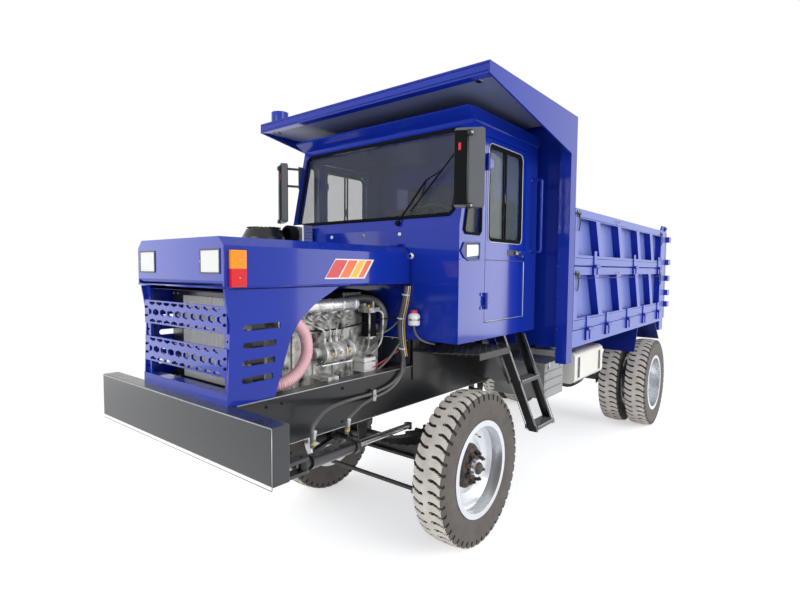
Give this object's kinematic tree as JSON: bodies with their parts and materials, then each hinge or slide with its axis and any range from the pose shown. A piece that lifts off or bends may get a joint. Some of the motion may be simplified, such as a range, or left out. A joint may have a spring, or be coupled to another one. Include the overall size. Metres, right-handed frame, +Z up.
{
  "type": "dump truck",
  "caption": "Bonneted two-axle dump truck with a box cab, a canopy over it, drop sides and a tipping bed raised by a cylinder; wheels, steering, doors and bonnet move.",
  "frame": {"origin": "on the ground under the middle of the truck's whole length and width", "axes": "+Z up, +Y towards the tail so that the truck drives along -Y, +X towards the truck's left"},
  "size_m": [2.04, 5.671, 2.933],
  "materials": {
    "blue_paint": "gloss royal-blue enamel",
    "frame_paint": "semi-gloss black chassis paint",
    "bumper_paint": "satin dark-grey paint",
    "cast_metal": "painted castings, oily and dusty",
    "axle_iron": "black-painted forging",
    "wheel_silver": "satin silver paint",
    "tyre_rubber": "worn rubber",
    "window_glass": "clear float glass",
    "seat_cover": "black vinyl",
    "dash_plastic": "grained dark-grey plastic",
    "mirror_case": "dark-grey moulded case",
    "lamp_lens": "moulded lens",
    "box_grey": "light-grey paint",
    "tank_cream": "cream-white paint",
    "black_rubber": "black hose",
    "pink_hose": "ribbed pinkish hose",
    "core_metal": "finned core, dusty",
    "pipe_steel": "heat-stained steel",
    "rod_chrome": "hard chrome",
    "cylinder_paint": "black enamel",
    "ladder_paint": "worn dark-blue paint with bright edges"
  },
  "bodies": {
    "chassis": {"chassis_frame": "frame_paint", "spring_hangers": "frame_paint", "cab_mounts": "frame_paint", "tank_brackets": "frame_paint", "front_bumper": "bumper_paint", "front_axle": "axle_iron", "rear_axle": "axle_iron", "nose_shell": "blue_paint", "grille_bars": "blue_paint", "radiator": "core_metal", "engine": "cast_metal", "driveline": "cast_metal", "cab_shell": "blue_paint", "cab_roof": "blue_paint", "cab_glass": "window_glass", "seats": "seat_cover", "dashboard": "dash_plastic", "mirrors": "mirror_case", "fenders": "blue_paint", "ladders": "ladder_paint", "side_boxes": "box_grey", "side_tanks": "tank_cream", "air_cleaner": "frame_paint", "exhaust": "pipe_steel", "radiator_hose": "pink_hose", "hoses": "black_rubber"},
    "steered_knuckle_left": {"knuckle_left": "axle_iron"},
    "steered_knuckle_right": {"knuckle_right": "axle_iron"},
    "track_rod": {"tie_rod": "axle_iron"},
    "steering_cylinder": {"steering_barrel": "cylinder_paint"},
    "steering_piston": {"steering_rod": "rod_chrome"},
    "front_left_wheel": {"tyre_front_left": "tyre_rubber", "wheel_front_left": "wheel_silver"},
    "front_right_wheel": {"tyre_front_right": "tyre_rubber", "wheel_front_right": "wheel_silver"},
    "rear_left_wheels": {"tyres_rear_left": "tyre_rubber", "wheels_rear_left": "wheel_silver"},
    "rear_right_wheels": {"tyres_rear_right": "tyre_rubber", "wheels_rear_right": "wheel_silver"},
    "bonnet": {"hood": "blue_paint", "hood_lamps": "lamp_lens"},
    "left_door": {"door_left": "blue_paint", "door_glass_left": "window_glass"},
    "right_door": {"door_right": "blue_paint", "door_glass_right": "window_glass"},
    "bed": {"bed_frame": "blue_paint", "bed_front": "blue_paint", "rear_mudguards": "blue_paint"},
    "lower_gate_left": {"gate_lower_left": "blue_paint"},
    "lower_gate_right": {"gate_lower_right": "blue_paint"},
    "upper_gate_left": {"gate_upper_left": "blue_paint"},
    "upper_gate_right": {"gate_upper_right": "blue_paint"},
    "tail_gate": {"tailgate": "blue_paint"},
    "hoist_cylinder": {"hoist_barrel": "cylinder_paint"},
    "hoist_piston": {"hoist_rod": "rod_chrome"}
  },
  "joints": [
    {"name": "bonnet_hinge", "type": "hinge", "parent": "chassis", "child": "bonnet", "pos_m": [0, -1.4985, 1.9], "axis": [-1, 0, 0], "range_deg": [0, 50]},
    {"name": "left_door_hinge", "type": "hinge", "parent": "chassis", "child": "left_door", "pos_m": [0.76, -1.1695, 1.984], "axis": [0, 0, -1], "range_deg": [0, 80]},
    {"name": "right_door_hinge", "type": "hinge", "parent": "chassis", "child": "right_door", "pos_m": [-0.76, -1.1695, 1.984], "axis": [0, 0, 1], "range_deg": [0, 80]},
    {"name": "steer_left", "type": "hinge", "parent": "chassis", "child": "steered_knuckle_left", "pos_m": [0.56, -1.1965, 0.487], "axis": [0, 0, 1], "range_deg": [-28, 28]},
    {"name": "steer_right", "type": "hinge", "parent": "chassis", "child": "steered_knuckle_right", "pos_m": [-0.56, -1.1965, 0.487], "axis": [0, 0, 1], "range_deg": [-28, 28]},
    {"name": "track_rod_ball", "type": "hinge", "parent": "steered_knuckle_left", "child": "track_rod", "pos_m": [0.463, -1.4965, 0.37], "axis": [0, 0, 1], "range_deg": [-34, 34]},
    {"name": "steering_cylinder_swing", "type": "hinge", "parent": "chassis", "child": "steering_cylinder", "pos_m": [0.72, -2.6365, 0.93], "axis": [0, 0, 1], "range_deg": [-6, 6]},
    {"name": "steering_cylinder_stroke", "type": "slide", "parent": "steering_cylinder", "child": "steering_piston", "axis": [-0.2827, 0.9478, -0.1473], "range_m": [-0.125, 0.125]},
    {"name": "spin_front_left", "type": "hinge", "parent": "steered_knuckle_left", "child": "front_left_wheel", "pos_m": [0.671, -1.1965, 0.487], "axis": [1, 0, 0], "continuous": true},
    {"name": "spin_front_right", "type": "hinge", "parent": "steered_knuckle_right", "child": "front_right_wheel", "pos_m": [-0.671, -1.1965, 0.487], "axis": [1, 0, 0], "continuous": true},
    {"name": "spin_rear_left", "type": "hinge", "parent": "chassis", "child": "rear_left_wheels", "pos_m": [0.7505, 2.3485, 0.487], "axis": [1, 0, 0], "continuous": true},
    {"name": "spin_rear_right", "type": "hinge", "parent": "chassis", "child": "rear_right_wheels", "pos_m": [-0.7505, 2.3485, 0.487], "axis": [1, 0, 0], "continuous": true},
    {"name": "bed_tip", "type": "hinge", "parent": "chassis", "child": "bed", "pos_m": [0, 2.6035, 1.09], "axis": [-1, 0, 0], "range_deg": [0, 50]},
    {"name": "hoist_swing", "type": "hinge", "parent": "chassis", "child": "hoist_cylinder", "pos_m": [0, 0.7035, 0.93], "axis": [1, 0, 0], "range_deg": [0, 20]},
    {"name": "hoist_stroke", "type": "slide", "parent": "hoist_cylinder", "child": "hoist_piston", "axis": [0, 0.9654, 0.2607], "range_m": [0, 0.66]},
    {"name": "lower_gate_left_hinge", "type": "hinge", "parent": "bed", "child": "lower_gate_left", "pos_m": [1.005, 1.1035, 1.3], "axis": [0, 1, 0], "range_deg": [0, 90]},
    {"name": "lower_gate_right_hinge", "type": "hinge", "parent": "bed", "child": "lower_gate_right", "pos_m": [-1.005, 1.1035, 1.3], "axis": [0, -1, 0], "range_deg": [0, 90]},
    {"name": "upper_gate_left_hinge", "type": "hinge", "parent": "lower_gate_left", "child": "upper_gate_left", "pos_m": [1.005, 1.1035, 1.782], "axis": [0, 1, 0], "range_deg": [0, 175]},
    {"name": "upper_gate_right_hinge", "type": "hinge", "parent": "lower_gate_right", "child": "upper_gate_right", "pos_m": [-1.005, 1.1035, 1.782], "axis": [0, -1, 0], "range_deg": [0, 175]},
    {"name": "tail_gate_hinge", "type": "hinge", "parent": "bed", "child": "tail_gate", "pos_m": [0, 2.6885, 2.24], "axis": [1, 0, 0], "range_deg": [0, 60]}
  ],
  "couplings": [
    {"joint": "steer_right", "follows": "steer_left", "ratio": 1},
    {"joint": "track_rod_ball", "follows": "steer_left", "ratio": -1.196},
    {"joint": "steering_cylinder_swing", "follows": "steer_left", "ratio": -0.145},
    {"joint": "steering_cylinder_stroke", "follows": "steer_left", "m_per_rad": -0.243},
    {"joint": "hoist_swing", "follows": "bed_tip", "ratio": 0.362},
    {"joint": "hoist_stroke", "follows": "bed_tip", "m_per_rad": 0.738}
  ]
}
